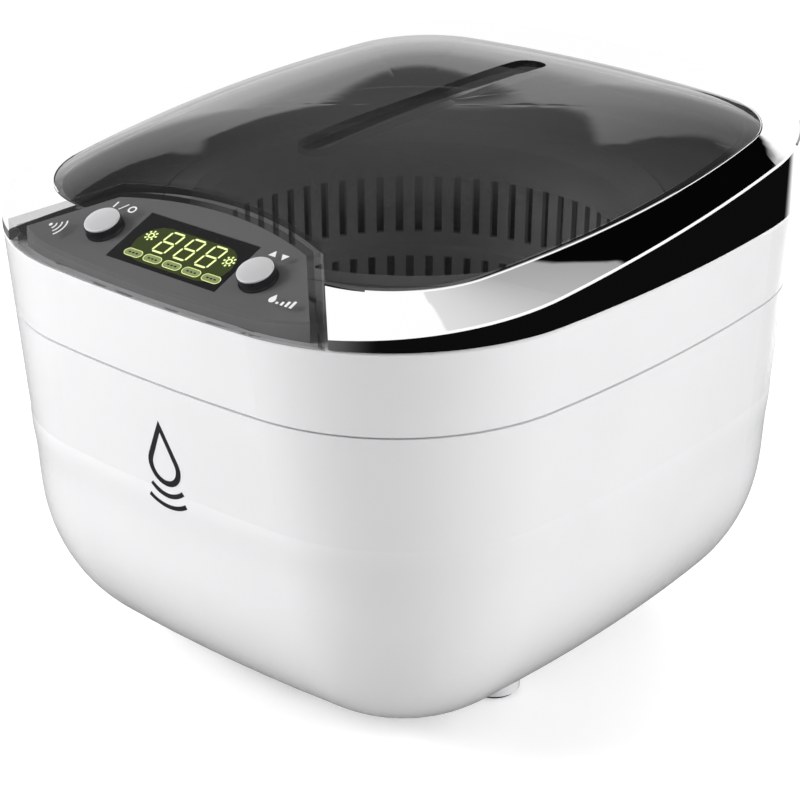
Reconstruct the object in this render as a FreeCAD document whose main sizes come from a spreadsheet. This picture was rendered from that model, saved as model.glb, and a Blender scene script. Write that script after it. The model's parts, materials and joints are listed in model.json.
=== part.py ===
"""Bench ultrasonic cleaner, built as an assembly of separate pieces.

Frame: millimetres, +Z up, origin on the resting plane under the middle of the body.
The control panel faces -Y, the lid hinge is at +Y, +X is to the user's right.
"""
import FreeCAD, Part
import math
import os
import re
import Sketcher

Vec = FreeCAD.Vector
Turn = FreeCAD.Rotation
Place = FreeCAD.Placement
X_AXIS = Vec(1, 0, 0)
Y_AXIS = Vec(0, 1, 0)
Z_AXIS = Vec(0, 0, 1)

doc = FreeCAD.newDocument("UltrasonicCleaner")

# ---------------------------------------------------------------- driving dimensions
DIMENSIONS = {
    # body outline: four long side arcs joined by four corner arcs
    "body_half_width": 93.3,
    "body_half_depth": 102.35,
    "side_arc": 484.0,
    "corner_arc": 60.4,
    "body_top": 128.0,
    "seam_height": 105.0,
    "seam_gap": 0.4,
    # the wall leans in from the top edge to the waist, then rounds under
    "waist_height": 53.0,
    "waist_half_width": 87.7,
    "waist_half_depth": 93.75,
    "waist_corner": 48.0,
    "round_height": 50.0,
    "round_inset": 46.0,
    "wall": 2.5,
    "deck": 3.0,
    "rim_bevel": 0.6,
    "seam_bevel": 0.35,
    # tank and basket
    "tank_y": 4.0,
    "tank_radius": 65.2,
    "tank_sheet": 0.8,
    "tank_floor": 58.0,
    "tank_corner": 10.0,
    "flange_radius": 69.2,
    "gasket": 0.8,
    "rim_seat_radius": 71.0,
    "rim_seat_depth": 1.5,
    "basket_rim_radius": 70.4,
    "basket_radius": 63.0,
    "basket_step_radius": 58.6,
    "basket_step_height": 91.0,
    "basket_bottom": 71.0,
    "basket_wall": 1.8,
    "slot_width": 2.4,
    "upper_slot_low": 95.0,
    "upper_slot_high": 113.0,
    "lower_slot_low": 75.0,
    "lower_slot_high": 88.5,
    # lid
    "lid_gap": 0.3,
    "crest_height": 140.9,
    "crest_slope": 0.1,
    "window_height": 142.1,
    "window_slope": 0.054,
    "window_half_width": 79.0,
    "window_half_depth": 88.2,
    "window_y": 3.1,
    "window_arc": 320.0,
    "window_corner": 33.0,
    "window_rise": 12.5,
    "window_wall": 3.0,
    "window_seat": 1.2,
    "lid_wall": 2.2,
    "crest_bevel": 0.5,
    "window_ledge": 3.0,
    "ledge_sheet": 1.4,
    "bumper_x": 88.0,
    "bumper_front_y": -45.0,
    "bumper_back_y": 40.0,
    "bumper_width": 2.0,
    "bumper_length": 10.0,
    "groove_width": 10.0,
    "groove_depth": 1.7,
    "groove_front": -41.0,
    "groove_back": 60.0,
    "groove_arc": 1258.0,
    "groove_peak_y": 31.9,
    "groove_peak_z": 154.7,
    # hinge
    "hinge_y": 106.4,
    "hinge_z": 129.6,
    "hinge_x": 22.0,
    "barrel_radius": 3.6,
    "hinge_pin_radius": 1.5,
    "knuckle_width": 10.0,
    "ear_width": 4.0,
    "ear_gap": 0.3,
    "bracket_inner_y": 98.0,
    "bracket_foot_y": 101.5,
    "bracket_foot_z": 111.0,
    "bracket_base_y": 106.0,
    "bracket_base_z": 121.0,
    "leaf_thickness": 7.0,
    "leaf_height": 13.0,
    "knuckle_screw_x": 3.0,
    "knuckle_screw_rise": 8.0,
    # control panel
    "panel_y": -87.0,
    "panel_z": 138.3,
    "panel_tilt": 22.5,
    "panel_front_half": 57.0,
    "panel_front_y": -95.3,
    "panel_back_half": 35.0,
    "panel_back_y": -73.0,
    "panel_bulge": 5.0,
    "panel_lip": 3.4,
    "cover_sheet": 1.6,
    "cover_round": 0.6,
    "plate_sheet": 1.5,
    "lid_notch_gap": 0.7,
    "panel_opening_width": 72.0,
    "panel_opening_depth": 20.0,
    "display_width": 39.0,
    "display_depth": 18.0,
    "display_thickness": 6.0,
    "display_leg_y": 7.5,
    "display_leg_width": 30.0,
    "display_leg_sheet": 1.2,
    "button_x": 27.6,
    "button_y": -1.0,
    "button_radius": 5.0,
    "button_proud": 1.7,
    "button_travel": 0.6,
    "button_gap": 0.3,
    "button_skirt": 1.2,
    "cap_sheet": 0.7,
    "cap_spigot": 2.0,
    "stem_drop": 3.95,
    "skirt_drop": 4.5,
    "skirt_sheet": 0.6,
    "stem_end": 5.2,
    "stem_nose": 1.6,
    "board_sheet": 1.6,
    "display_board_drop": 9.6,
    "display_board_width": 66.0,
    "display_board_depth": 15.0,
    "display_board_y": -2.5,
    "board_tail_y": -9.0,
    "board_tail_width": 20.0,
    "board_tail_depth": 4.0,
    "switch_size": 6.0,
    "switch_height": 3.2,
    "plunger_radius": 1.7,
    "plunger_height": 0.6,
    # transducer under the tank
    "horn_radius": 25.0,
    "horn_height": 16.0,
    "piezo_radius": 17.5,
    "piezo_bore": 6.5,
    "piezo_sheet": 5.0,
    "electrode_sheet": 0.4,
    "tail_height": 14.0,
    "bolt_radius": 2.95,
    "bolt_head_radius": 5.5,
    "bolt_head_height": 5.0,
    "bolt_socket": 2.8,
    "tab_length": 10.0,
    "tab_width": 5.0,
    # driver board on the floor behind the transducer
    "driver_z": 16.0,
    "driver_y": 49.0,
    "driver_length": 88.0,
    "driver_depth": 38.0,
    "core_x": -22.0,
    "core_width": 26.0,
    "core_depth": 12.0,
    "core_height": 22.0,
    "core_limb": 4.0,
    "core_window": 5.0,
    "core_window_x": 5.5,
    "winding_width": 15.6,
    "winding_depth": 20.0,
    "sink_x": 20.0,
    "sink_width": 30.0,
    "sink_height": 26.0,
    "fin_sheet": 1.6,
    "fin_pitch": 5.68,
    "fin_length": 10.0,
    "can_radius": 4.5,
    "can_height": 20.0,
    "small_can_radius": 3.2,
    "small_can_height": 15.0,
    "can_x": -3.0,
    "small_can_x": -39.5,
    "fuse_radius": 2.6,
    "fuse_length": 20.0,
    "fuse_x": 2.0,
    "front_row": 12.0,
    "clip_length": 4.0,
    "clip_size": 7.4,
    "clip_x": 7.0,
    "plug_height": 9.0,
    "plug_length": 12.0,
    "plug_depth": 7.0,
    "mains_plug_x": -30.0,
    "drive_plug_x": 24.0,
    # cooling fan on the floor in front of the transducer
    "fan_y": -46.0,
    "fan_z": 13.0,
    "fan_size": 40.0,
    "fan_height": 10.0,
    "fan_bore": 18.8,
    "fan_tip": 18.0,
    "fan_hub": 8.5,
    "fan_shaft": 1.0,
    "fan_arm": 2.4,
    "blade_width": 7.4,
    "blade_sheet": 1.0,
    "blade_pitch": 38.0,
    # feet, case screws and the mains inlet
    "front_foot_x": 52.0,
    "front_foot_y": -22.0,
    "back_foot_x": 45.0,
    "back_foot_y": 48.0,
    "foot_radius": 6.2,
    "foot_height": 2.4,
    "post_x": 54.0,
    "front_post_y": -50.0,
    "back_post_y": 60.0,
    "post_radius": 4.2,
    "post_split": 50.0,
    "foot_collar": 1.2,
    "foot_nub": 14.0,
    "stud_root": 1.0,
    "board_stud": 3.0,
    "fan_stud": 2.6,
    "case_screw_head": 3.0,
    "case_screw_sink": 2.4,
    "case_screw_reach": 12.0,
    "screw_shank": 1.1,
    "screw_pilot": 1.2,
    "screw_clear": 1.7,
    "screw_well": 3.4,
    "vent_width": 2.0,
    "vent_pitch": 4.0,
    "fan_vent_length": 30.0,
    "driver_vent_length": 40.0,
    "inlet_x": -42.0,
    "inlet_z": 62.0,
    "inlet_face": 95.6,
    "inlet_width": 24.0,
    "inlet_length": 22.0,
    "inlet_height": 16.0,
    "boss_wall": 4.0,
    "boss_depth": 10.0,
    "socket_depth": 15.0,
    "socket_lobe": 4.3,
    "socket_lobe_x": 3.9,
    "inlet_pin": 1.2,
    "inlet_pin_x": 4.3,
    "pin_reach": 27.0,
    "lead_drop": 33.0,
}

sheet = doc.addObject("Spreadsheet::Sheet", "Dims")
for row, (alias, number) in enumerate(DIMENSIONS.items(), start=1):
    sheet.set("A%d" % row, alias)
    sheet.set("B%d" % row, str(number))
    sheet.setAlias("B%d" % row, alias)
doc.recompute()

PARTS = []


# ---------------------------------------------------------------- expression helpers
def full(expression):
    """Write the sheet's name before each alias in an expression."""
    def named(match):
        word = match.group(0)
        return "Dims." + word if word in DIMENSIONS else word
    return re.sub(r"[a-z][a-z_]+", named, str(expression))


def value(expression):
    return float(sheet.evalExpression(full(expression).replace("Dims.", "")))


def bind(thing, prop, expression):
    thing.setExpression(prop, full(expression))


def keep(node, thing):
    """Name a finished sub-part; its label is its file name."""
    thing.Label = node
    PARTS.append(thing)
    return thing


# ---------------------------------------------------------------- sketch helpers
def new_body(name):
    return doc.addObject("PartDesign::Body", name)


def origin_plane(body, role):
    return [f for f in body.Origin.OriginFeatures if f.Role == role][0]


def new_sketch(body, plane="XY_Plane", offset="0", slope=None):
    """A sketch on one of the body's own planes, moved along its normal and tipped about X."""
    sketch = body.newObject("Sketcher::SketchObject", body.Name + "_sketch")
    sketch.AttachmentSupport = [(origin_plane(body, plane), "")]
    sketch.MapMode = "FlatFace"
    if slope is not None:
        angle = math.degrees(math.atan(value(slope)))
        sketch.AttachmentOffset = Place(Vec(0, 0, 0), Turn(X_AXIS, angle))
        bind(sketch, "AttachmentOffset.Rotation.Angle", "atan(%s)" % slope)
    bind(sketch, "AttachmentOffset.Base.z", offset)
    return sketch


def pin_point(sketch, geometry, point, x, y):
    """Fix one point of a sketch at expressions measured from the sketch's origin."""
    for kind, expression in (("DistanceX", x), ("DistanceY", y)):
        constraint = Sketcher.Constraint(kind, -1, 1, geometry, point, value(expression))
        index = sketch.addConstraint(constraint)
        bind(sketch, "Constraints[%d]" % index, expression)


def set_radius(sketch, geometry, radius):
    index = sketch.addConstraint(Sketcher.Constraint("Radius", geometry, value(radius)))
    bind(sketch, "Constraints[%d]" % index, radius)


def draw_circle(sketch, x, y, radius):
    circle = Part.Circle(Vec(value(x), value(y), 0), Z_AXIS, value(radius))
    geometry = sketch.addGeometry(circle, False)
    pin_point(sketch, geometry, 3, x, y)
    set_radius(sketch, geometry, radius)


def draw_polygon(sketch, corners):
    """A closed run of straight lines through (x, y) expressions."""
    points = [Vec(value(x), value(y), 0) for x, y in corners]
    count = len(points)
    lines = [Part.LineSegment(points[i], points[(i + 1) % count]) for i in range(count)]
    first = sketch.addGeometry(lines, False)[0]
    for i in range(count):
        following = first + (i + 1) % count
        sketch.addConstraint(Sketcher.Constraint("Coincident", first + i, 2, following, 1))
        pin_point(sketch, first + i, 1, *corners[i])


def draw_outline(sketch, half_x, half_y, side, corner, centre_y="0"):
    """Rounded outline: long arcs on the four sides, tangent arcs at the four corners."""
    reach_x = value(half_x)
    reach_y = value(half_y)
    side_radius = value(side)
    corner_radius = value(corner)
    shift = value(centre_y)
    gap = side_radius - corner_radius
    # the corner centre lies at the same distance from both neighbouring side centres
    side_centre = Vec(reach_x - side_radius, 0, 0)
    back_centre = Vec(0, reach_y - side_radius, 0)
    span = back_centre - side_centre
    middle = (side_centre + back_centre) * 0.5
    rise = math.sqrt(gap ** 2 - (span.Length / 2) ** 2)
    outward = Vec(-span.y, span.x, 0).normalize()
    if outward.x < 0:
        outward = outward * -1
    corner_centre = middle + outward * rise
    side_end = math.atan2(corner_centre.y, corner_centre.x - side_centre.x)
    back_end = math.atan2(corner_centre.y - back_centre.y, corner_centre.x)
    # one quarter: right side, corner, back; the rest follows by turning and mirroring
    arcs = [
        (side_centre.x, 0, side_radius, -side_end, side_end),
        (corner_centre.x, corner_centre.y, corner_radius, side_end, back_end),
        (0, back_centre.y, side_radius, back_end, math.pi - back_end),
        (-corner_centre.x, corner_centre.y, corner_radius, math.pi - back_end, math.pi - side_end),
        (-side_centre.x, 0, side_radius, math.pi - side_end, math.pi + side_end),
        (-corner_centre.x, -corner_centre.y, corner_radius, math.pi + side_end, math.pi + back_end),
        (0, -back_centre.y, side_radius, math.pi + back_end, 2 * math.pi - back_end),
        (corner_centre.x, -corner_centre.y, corner_radius, -back_end, -side_end),
    ]
    shapes = []
    for x, y, radius, start, end in arcs:
        circle = Part.Circle(Vec(x, y + shift, 0), Z_AXIS, radius)
        shapes.append(Part.ArcOfCircle(circle, start, end))
    first = sketch.addGeometry(shapes, False)[0]
    for i in range(8):
        following = first + (i + 1) % 8
        sketch.addConstraint(Sketcher.Constraint("Tangent", first + i, 2, following, 1))
    pin_point(sketch, first, 3, "(%s) - (%s)" % (half_x, side), centre_y)
    pin_point(sketch, first + 2, 3, "0", "(%s) + (%s) - (%s)" % (centre_y, half_y, side))
    pin_point(sketch, first + 4, 3, "(%s) - (%s)" % (side, half_x), centre_y)
    pin_point(sketch, first + 6, 3, "0", "(%s) - (%s) + (%s)" % (centre_y, half_y, side))
    for i in range(8):
        set_radius(sketch, first + i, corner if i % 2 else side)


# ---------------------------------------------------------------- feature helpers
def feature(body, kind, sketch):
    made = body.newObject("PartDesign::" + kind, body.Name + "_" + kind.lower())
    made.Profile = sketch
    return made


def pad(body, sketch, length):
    made = feature(body, "Pad", sketch)
    bind(made, "Length", length)
    doc.recompute()
    return made


def pocket_both_ways(body, sketch, length):
    """Cut a sketch out to both sides of its plane, and fail if that removed nothing."""
    doc.recompute()
    before = body.Shape.Volume
    made = feature(body, "Pocket", sketch)
    bind(made, "Length", length)
    made.Midplane = True
    doc.recompute()
    if body.Shape.Volume > before - 1e-6:
        raise RuntimeError("%s removed nothing" % made.Name)
    return made


def loft(body, sketches, ruled=False):
    made = feature(body, "AdditiveLoft", sketches[0])
    made.Sections = sketches[1:]
    made.Ruled = ruled
    doc.recompute()
    return made


def revolve(body, sketch):
    made = feature(body, "Revolution", sketch)
    made.ReferenceAxis = (sketch, ["V_Axis"])
    made.Angle = 360
    doc.recompute()
    return made


# ---------------------------------------------------------------- primitive helpers
def set_base(thing, x, y, z):
    for prop, expression in (("x", x), ("y", y), ("z", z)):
        bind(thing, "Placement.Base." + prop, expression)


def box(x, y, z, length, width, height):
    """A box centred on (x, y), standing on z."""
    made = doc.addObject("Part::Box", "block")
    bind(made, "Length", length)
    bind(made, "Width", width)
    bind(made, "Height", height)
    set_base(made, "(%s) - (%s) / 2" % (x, length), "(%s) - (%s) / 2" % (y, width), z)
    return made


def rod(x, y, z, radius, height, axis=Z_AXIS):
    """A cylinder that starts at (x, y, z) and runs along axis."""
    made = doc.addObject("Part::Cylinder", "rod")
    bind(made, "Radius", radius)
    bind(made, "Height", height)
    made.Placement = Place(Vec(0, 0, 0), Turn(Z_AXIS, axis))
    set_base(made, x, y, z)
    return made


def cone(x, y, z, low_radius, high_radius, height):
    made = doc.addObject("Part::Cone", "cone")
    bind(made, "Radius1", low_radius)
    bind(made, "Radius2", high_radius)
    bind(made, "Height", height)
    set_base(made, x, y, z)
    return made


def cut(base, tool):
    made = doc.addObject("Part::Cut", "cut")
    made.Base = base
    made.Tool = tool
    return made


def join(pieces, kind="MultiFuse"):
    made = doc.addObject("Part::" + kind, "joined")
    made.Shapes = pieces
    return made


def common(pieces):
    return join(pieces, "MultiCommon")


def group(pieces):
    made = doc.addObject("Part::Compound", "grouped")
    made.Links = pieces
    return made


def tube(x, y, z, outer, inner, height, axis=Z_AXIS):
    return cut(rod(x, y, z, outer, height, axis), rod(x, y, z, inner, height, axis))


def on_panel(thing):
    """Carry a piece drawn flat at the origin to the tilted control panel."""
    thing.Placement = Place(Vec(0, 0, 0), Turn(X_AXIS, value("panel_tilt")))
    bind(thing, "Placement.Rotation.Angle", "panel_tilt")
    set_base(thing, "0", "panel_y", "panel_z")
    return thing


# ---------------------------------------------------------------- places used by several pieces
def four_places(front_x, front_y, back_x, back_y):
    places = []
    for side in ("-", ""):
        places.append((side + front_x, front_y))
        places.append((side + back_x, back_y))
    return places


FOOT_PLACES = four_places("front_foot_x", "front_foot_y", "back_foot_x", "back_foot_y")
POST_PLACES = four_places("post_x", "front_post_y", "post_x", "back_post_y")
BOARD_CORNERS = [("%s (driver_length / 2 - 4)" % a, "driver_y %s (driver_depth / 2 - 4)" % b)
                 for a in ("-", "+") for b in ("-", "+")]
FAN_CORNERS = [("%s (fan_size / 2 - 4)" % a, "fan_y %s (fan_size / 2 - 4)" % b)
               for a in ("-", "+") for b in ("-", "+")]
BUTTON_PLACES = {"power": "-button_x", "set": "button_x"}
HINGE_SIDES = ("-1", "1")
UPPER_SLOTS = 64
LOWER_SLOTS = 60
FLOOR_HOLE_RINGS = ((0, 1), (13, 8), (26, 16), (39, 24), (50, 30))
VENT_COUNT = 9
FIN_COUNT = 6
BLADE_COUNT = 7
MAINS_LEAD_RADIUS = 1.0
DRIVE_LEAD_RADIUS = 0.8


# ---------------------------------------------------------------- body outline at any height
def wall_section(height, inset="0"):
    """Half sizes and arcs of the leaning wall at a height above the waist."""
    share = "((%s) - waist_height) / (body_top - waist_height)" % height
    half_x = "waist_half_width + (body_half_width - waist_half_width) * %s - (%s)" % (share, inset)
    half_y = "waist_half_depth + (body_half_depth - waist_half_depth) * %s - (%s)" % (share, inset)
    corner = "waist_corner + (corner_arc - waist_corner) * %s - (%s)" % (share, inset)
    return half_x, half_y, "side_arc - (%s)" % inset, corner


def wall_sketch(body, height, inset="0", offset=None):
    sketch = new_sketch(body, offset=height if offset is None else offset)
    draw_outline(sketch, *wall_section(height, inset))
    return sketch


def wall_prism(name, height, inset, low, length):
    """A straight prism of the outline taken at one height, standing on low."""
    body = new_body(name)
    pad(body, wall_sketch(body, height, inset, low), length)
    return body


def round_sketch(body, angle, inset="0"):
    """One station of the large rounding under the waist, angle measured from the waist."""
    height = "waist_height - (round_height - (%s)) * sin(%s)" % (inset, angle)
    shrink = "((%s) + (round_inset - (%s)) * (1 - cos(%s)))" % (inset, inset, angle)
    sketch = new_sketch(body, offset=height)
    half_x = "waist_half_width - " + shrink
    half_y = "waist_half_depth - " + shrink
    draw_outline(sketch, half_x, half_y, "side_arc - " + shrink, "waist_corner - " + shrink)
    return sketch


def bowl(name, top, inset="0"):
    """The lower form of the housing: leaning wall down to the waist, then the rounding."""
    body = new_body(name)
    shoulder = "waist_height + 20"
    loft(body, [wall_sketch(body, top, inset), wall_sketch(body, shoulder, inset)], ruled=True)
    # evenly spaced stations keep the smooth surface from swelling between them
    sections = [wall_sketch(body, height, inset) for height in (shoulder, "waist_height + 10")]
    sections += [round_sketch(body, angle, inset) for angle in (4, 15, 27, 39, 51, 62, 72, 81, 90)]
    loft(body, sections)
    return body


# ---------------------------------------------------------------- housing shells
SEAM_LOW = "seam_height - seam_gap / 2"
SEAM_HIGH = "seam_height + seam_gap / 2"


def inlet_block(clearance="0"):
    grow = " + 2 * (%s)" % clearance
    return box("inlet_x", "inlet_face - inlet_length / 2",
               "inlet_z - inlet_height / 2 - (%s)" % clearance,
               "inlet_width" + grow, "inlet_length" + grow, "inlet_height" + grow)


def make_lower_shell():
    outer = bowl("LowerOuter", SEAM_LOW)
    inner = bowl("LowerInner", SEAM_LOW, "wall")
    nubs = [rod(x, y, "foot_height / 2", "foot_radius + foot_collar", "foot_nub") for x, y in FOOT_PLACES]
    post = "post_split - stud_root - 0.2"
    studs = [rod(x, y, "stud_root", "post_radius", post) for x, y in POST_PLACES]
    studs += [rod(x, y, "stud_root", "board_stud", "driver_z - stud_root") for x, y in BOARD_CORNERS]
    studs += [rod(x, y, "stud_root", "fan_stud", "fan_z - stud_root") for x, y in FAN_CORNERS]
    boss = box("inlet_x", "inlet_face - boss_depth / 2", "inlet_z - inlet_height / 2 - boss_wall",
               "inlet_width + 2 * boss_wall", "boss_depth", "inlet_height + 2 * boss_wall")
    solid = join([cut(outer, inner), cut(join(nubs), inner), common([join(studs), outer]), boss])
    holes = [wall_prism("LowerRebate", SEAM_LOW, "wall / 2", "seam_height - 4.2", "10")]
    holes += [rod(x, y, "0", "foot_radius + 0.05", "foot_height") for x, y in FOOT_PLACES]
    for x, y in POST_PLACES:
        holes.append(rod(x, y, "0", "screw_clear", "post_split + 5"))
        holes.append(rod(x, y, "0", "screw_well", "post_split / 2"))
    for x, y in BOARD_CORNERS + FAN_CORNERS:
        holes.append(rod(x, y, "7.5", "screw_pilot", "12"))
    for i in range(VENT_COUNT):
        step = "vent_pitch * %d" % (i - VENT_COUNT // 2)
        holes.append(box("0", "fan_y + " + step, "-1", "fan_vent_length", "vent_width", "fan_z"))
        holes.append(box("0", "driver_y + " + step, "-1", "driver_vent_length", "vent_width", "fan_z"))
    holes.append(inlet_block("0.05"))
    return keep("lower_shell", cut(solid, join(holes)))


def make_upper_shell():
    band = new_body("UpperBand")
    seam_edge = [wall_sketch(band, SEAM_HIGH, "seam_bevel"), wall_sketch(band, SEAM_HIGH + " + seam_bevel")]
    rim_edge = [wall_sketch(band, "body_top - rim_bevel"), wall_sketch(band, "body_top", "rim_bevel")]
    loft(band, seam_edge + rim_edge, ruled=True)
    hollow = new_body("UpperHollow")
    low = wall_sketch(hollow, "seam_height", "wall")
    high = wall_sketch(hollow, "body_top - deck", "wall")
    loft(hollow, [low, high], ruled=True)
    tongue_outer = wall_prism("TongueOuter", SEAM_LOW, "wall / 2 + 0.1", "seam_height - 4", "4.6")
    tongue_inner = wall_prism("TongueInner", SEAM_LOW, "wall", "seam_height - 5", "7")
    posts = [rod(x, y, "post_split", "post_radius - 0.2", "body_top - deck / 2 - post_split")
             for x, y in POST_PLACES]
    solid = join([cut(band, hollow), cut(tongue_outer, tongue_inner)] + posts)
    holes = [
        rod("0", "tank_y", "body_top - 2 * deck", "tank_radius", "3 * deck"),
        rod("0", "tank_y", "body_top - rim_seat_depth", "rim_seat_radius", "deck"),
        box("0", "panel_y - 1", "body_top - 2 * deck", "panel_opening_width", "panel_opening_depth",
            "3 * deck"),
    ]
    holes += [rod(x, y, "post_split - 1", "screw_pilot", "22") for x, y in POST_PLACES]
    return keep("upper_shell", cut(solid, join(holes)))


# ---------------------------------------------------------------- tank and its seal
def cup_form(name, radius, floor, corner, top):
    """A plain round cup, solid, with a rounded lower corner."""
    body = new_body(name)
    pad(body, circle_sketch(body, "0", "tank_y", radius, floor), "%s - (%s)" % (top, floor))
    round_rim(body, floor, corner)
    return body


def make_tank():
    """Deep-drawn tank: flange, straight wall and a floor with a rounded corner."""
    rim = "body_top - deck - gasket"
    flange = rod("0", "tank_y", rim + " - tank_sheet", "flange_radius", "tank_sheet")
    outer = cup_form("TankOuter", "tank_radius + tank_sheet", "tank_floor", "tank_corner + tank_sheet", rim)
    inner = cup_form("TankInner", "tank_radius", "tank_floor + tank_sheet", "tank_corner", rim)
    return keep("tank", cut(join([outer, flange]), inner))


def circle_sketch(body, x, y, radius, height):
    sketch = new_sketch(body, offset=height)
    draw_circle(sketch, x, y, radius)
    return sketch


def round_rim(body, height, radius):
    """Fillet the widest circular edge that lies flat at one height."""
    level = value(height)
    best = None
    for number, edge in enumerate(body.Shape.Edges, start=1):
        flat = edge.BoundBox.ZLength < 0.01 and abs(edge.BoundBox.ZMin - level) < 0.01
        if flat and (best is None or edge.Length > best[0]):
            best = (edge.Length, "Edge%d" % number)
    base = body.Tip
    made = body.newObject("PartDesign::Fillet", body.Name + "_fillet")
    made.Base = (base, [best[1]])
    bind(made, "Radius", radius)
    doc.recompute()
    return made


def make_gasket():
    height = "body_top - deck - gasket"
    return keep("tank_gasket", tube("0", "tank_y", height, "flange_radius", "tank_radius + 0.4", "gasket"))


# ---------------------------------------------------------------- transducer stack
def make_transducer():
    horn = "tank_floor - horn_height"
    upper_electrode = horn + " - electrode_sheet"
    upper_piezo = upper_electrode + " - piezo_sheet"
    middle_electrode = upper_piezo + " - electrode_sheet"
    lower_piezo = middle_electrode + " - piezo_sheet"
    lower_electrode = lower_piezo + " - electrode_sheet"
    tail = lower_electrode + " - tail_height"
    front = cut(cone("0", "tank_y", horn, "piezo_radius + 1.5", "horn_radius", "horn_height"),
                rod("0", "tank_y", horn, "3", "horn_height - 4"))
    keep("transducer_front_mass", front)
    rings = [tube("0", "tank_y", z, "piezo_radius", "piezo_bore", "piezo_sheet")
             for z in (upper_piezo, lower_piezo)]
    keep("piezo_rings", group(rings))
    plates = []
    for z in (upper_electrode, middle_electrode, lower_electrode):
        tab = box("piezo_radius + 3", "tank_y", z, "tab_length", "tab_width", "electrode_sheet")
        disc = join([rod("0", "tank_y", z, "piezo_radius", "electrode_sheet"), tab])
        plates.append(cut(disc, rod("0", "tank_y", z, "piezo_bore", "electrode_sheet")))
    keep("electrode_plates", group(plates))
    keep("transducer_back_mass", tube("0", "tank_y", tail, "piezo_radius", "3.2", "tail_height"))
    head_low = tail + " - bolt_head_height"
    head = cut(rod("0", "tank_y", head_low, "bolt_head_radius", "bolt_head_height"),
               rod("0", "tank_y", head_low, "bolt_socket", "0.6 * bolt_head_height"))
    shank = rod("0", "tank_y", tail, "bolt_radius", "tank_floor - 5 - (%s)" % tail)
    keep("transducer_bolt", join([head, shank]))


# ---------------------------------------------------------------- basket
def make_basket():
    """Stepped plastic basket: rim, two slotted walls with a ledge between, perforated floor."""
    body = new_body("BasketForm")
    sketch = new_sketch(body, "XZ_Plane")
    rim_low = "body_top - rim_seat_depth"
    profile = [
        ("0", "basket_bottom"),
        ("basket_step_radius - 1", "basket_bottom"),
        ("basket_step_radius", "basket_step_height - basket_wall"),
        ("basket_radius - 0.8", "basket_step_height - basket_wall"),
        ("basket_radius", rim_low + " - 2"),
        ("tank_radius - 0.5", rim_low),
        ("basket_rim_radius", rim_low),
        ("basket_rim_radius", "body_top"),
        ("tank_radius - 2.2", "body_top"),
        ("basket_radius - basket_wall", rim_low + " - 2.6"),
        ("basket_radius - basket_wall - 0.8", "basket_step_height"),
        ("basket_step_radius - basket_wall", "basket_step_height"),
        ("basket_step_radius - basket_wall - 1", "basket_bottom + basket_wall"),
        ("0", "basket_bottom + basket_wall"),
    ]
    draw_polygon(sketch, profile)
    revolve(body, sketch)
    set_base(body, "0", "tank_y", "0")
    slots = ring_of_slots("basket_radius", "upper_slot_low", "upper_slot_high", UPPER_SLOTS)
    slots += ring_of_slots("basket_step_radius", "lower_slot_low", "lower_slot_high", LOWER_SLOTS)
    holes = []
    for ring, count in FLOOR_HOLE_RINGS:
        for i in range(count):
            angle = 360 * i / count
            x = "%d * cos(%g)" % (ring, angle)
            y = "tank_y + %d * sin(%g)" % (ring, angle)
            holes.append(rod(x, y, "basket_bottom - 1", "slot_width", "basket_wall + 2"))
    return keep("basket", cut(body, group(slots + holes)))


def ring_of_slots(radius, low, high, count):
    """Cutters for a ring of upright slots through a wall of the basket."""
    slots = []
    for i in range(count):
        angle = 360 * i / count
        slot = doc.addObject("Part::Box", "slot")
        bind(slot, "Length", "8")
        bind(slot, "Width", "slot_width")
        bind(slot, "Height", "%s - %s" % (high, low))
        slot.Placement = Place(Vec(0, 0, 0), Turn(Z_AXIS, angle))
        along = "(%s - 5)" % radius
        x = "%s * cos(%g) + slot_width / 2 * sin(%g)" % (along, angle, angle)
        y = "tank_y + %s * sin(%g) - slot_width / 2 * cos(%g)" % (along, angle, angle)
        set_base(slot, x, y, low)
        slots.append(slot)
    return slots


# ---------------------------------------------------------------- control panel
PANEL_FALL = "tan(panel_tilt)"


def panel_plan(name, grow):
    """Plan of the control panel: wide at the front, narrower and bowed at the back."""
    body = new_body(name)
    sketch = new_sketch(body, offset="body_top")
    flare = "(panel_front_half - panel_back_half) / (panel_back_y - panel_front_y)"
    side_grow = "(%s) * sqrt(1 + (%s)^2)" % (grow, flare)
    back_y = "panel_back_y + (%s)" % grow
    back_half = "(panel_back_half + %s - (%s) * %s)" % (side_grow, grow, flare)
    front_y = "panel_front_y - 15"
    front_half = "(panel_front_half + %s + 15 * %s)" % (side_grow, flare)
    radius = "(%s^2 + panel_bulge^2) / (2 * panel_bulge)" % back_half
    corners = [("-" + front_half, front_y), (front_half, front_y), (back_half, back_y),
               ("-" + back_half, back_y)]
    points = [Vec(value(x), value(y), 0) for x, y in corners]
    bow_radius = value(radius)
    centre = Vec(0, value(back_y) + value("panel_bulge") - bow_radius, 0)
    start = math.atan2(points[2].y - centre.y, points[2].x)
    bow = Part.ArcOfCircle(Part.Circle(centre, Z_AXIS, bow_radius), start, math.pi - start)
    lines = [Part.LineSegment(points[0], points[1]), Part.LineSegment(points[1], points[2]), bow,
             Part.LineSegment(points[3], points[0])]
    sketch.addGeometry(lines, False)
    for i in range(4):
        sketch.addConstraint(Sketcher.Constraint("Coincident", i, 2, (i + 1) % 4, 1))
        pin_point(sketch, i, 1, *corners[i])
    set_radius(sketch, 2, radius)
    pad(body, sketch, "30")
    return body


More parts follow.
